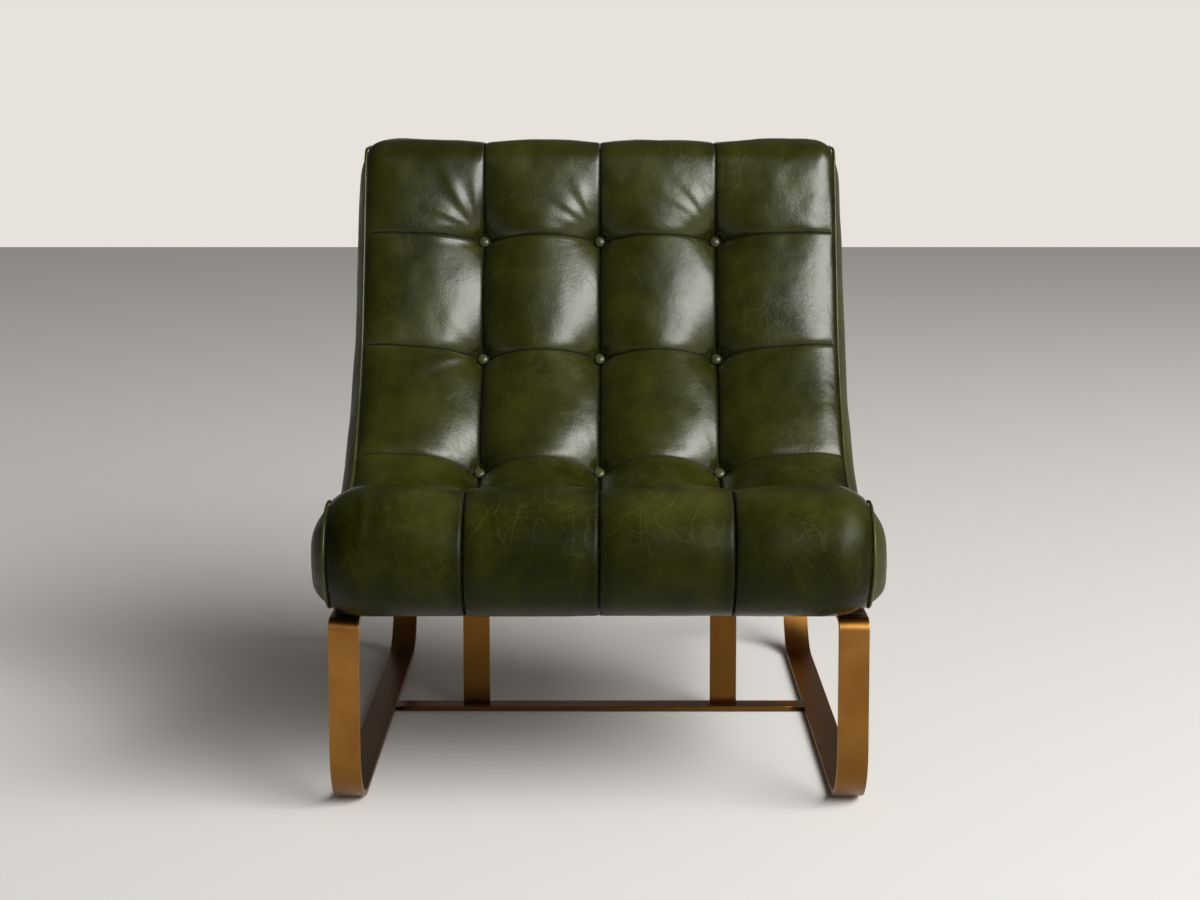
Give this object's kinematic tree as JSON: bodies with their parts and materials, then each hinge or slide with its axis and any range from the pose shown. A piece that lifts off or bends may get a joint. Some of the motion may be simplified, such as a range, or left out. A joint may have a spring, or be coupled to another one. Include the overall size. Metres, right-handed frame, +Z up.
{
  "type": "upholstered lounge chair",
  "caption": "Armless scoop lounge chair: one channelled, button-tufted leather body with a front roll, on flat bar side hoops.",
  "frame": {"origin": "on the floor, under the middle of the chair's bounding box", "axes": "+Z is up, -Y is the chair's front, the way a sitter faces, and +X is to the right for someone who stands in front and looks at it"},
  "size_m": [0.711, 0.8614, 0.824],
  "materials": {
    "green_leather": "glossy pull-up leather, dark olive green",
    "side_leather": "glossy pull-up leather, dark olive green",
    "back_leather": "satin leather, dark olive green",
    "button_leather": "glossy leather over a button mould",
    "welt_leather": "dark leather cord",
    "antique_brass": "brushed and aged, satin",
    "black_spacer": "matt black",
    "pale_glide": "matt",
    "zinc": "zinc plated",
    "plywood": "raw",
    "beech": "raw",
    "foam": "upholstery foam",
    "wadding": "soft wadding",
    "felt": "felt",
    "jute_strap": "woven strap",
    "spring_steel": "oiled spring wire",
    "dust_cloth": "black non-woven cloth"
  },
  "bodies": {
    "root": {"back_foam": "foam", "back_strap_1": "jute_strap", "back_strap_2": "jute_strap", "back_strap_3": "jute_strap", "back_strap_4": "jute_strap", "base_rail": "beech", "dust_cover": "dust_cloth", "floor_crossbar": "antique_brass", "front_rail": "beech", "glide_left_front": "pale_glide", "glide_left_rear": "pale_glide", "glide_right_front": "pale_glide", "glide_right_rear": "pale_glide", "hoop_bolt_left_front": "zinc", "hoop_bolt_left_rear": "zinc", "hoop_bolt_right_front": "zinc", "hoop_bolt_right_rear": "zinc", "leather_column_far_left": "green_leather", "leather_column_far_right": "green_leather", "leather_column_mid_left": "green_leather", "leather_column_mid_right": "green_leather", "lumbar_rail": "beech", "outer_back": "back_leather", "seat_foam": "foam", "seat_spring_1": "spring_steel", "seat_spring_2": "spring_steel", "seat_spring_3": "spring_steel", "seat_spring_4": "spring_steel", "side_frame_left": "plywood", "side_frame_right": "plywood", "side_hoop_left": "antique_brass", "side_hoop_right": "antique_brass", "side_pad_left": "wadding", "side_pad_right": "wadding", "side_panel_left": "side_leather", "side_panel_right": "side_leather", "spacer_left": "black_spacer", "spacer_right": "black_spacer", "spring_felt": "felt", "top_rail": "beech", "tuft_button_row1_left": "button_leather", "tuft_button_row1_middle": "button_leather", "tuft_button_row1_right": "button_leather", "tuft_button_row2_left": "button_leather", "tuft_button_row2_middle": "button_leather", "tuft_button_row2_right": "button_leather", "tuft_button_row3_left": "button_leather", "tuft_button_row3_middle": "button_leather", "tuft_button_row3_right": "button_leather", "tuft_button_row4_left": "button_leather", "tuft_button_row4_middle": "button_leather", "tuft_button_row4_right": "button_leather", "upright_left": "antique_brass", "upright_right": "antique_brass", "upright_screw_left": "zinc", "upright_screw_right": "zinc", "welt_left": "welt_leather", "welt_right": "welt_leather"}
  },
  "joints": []
}
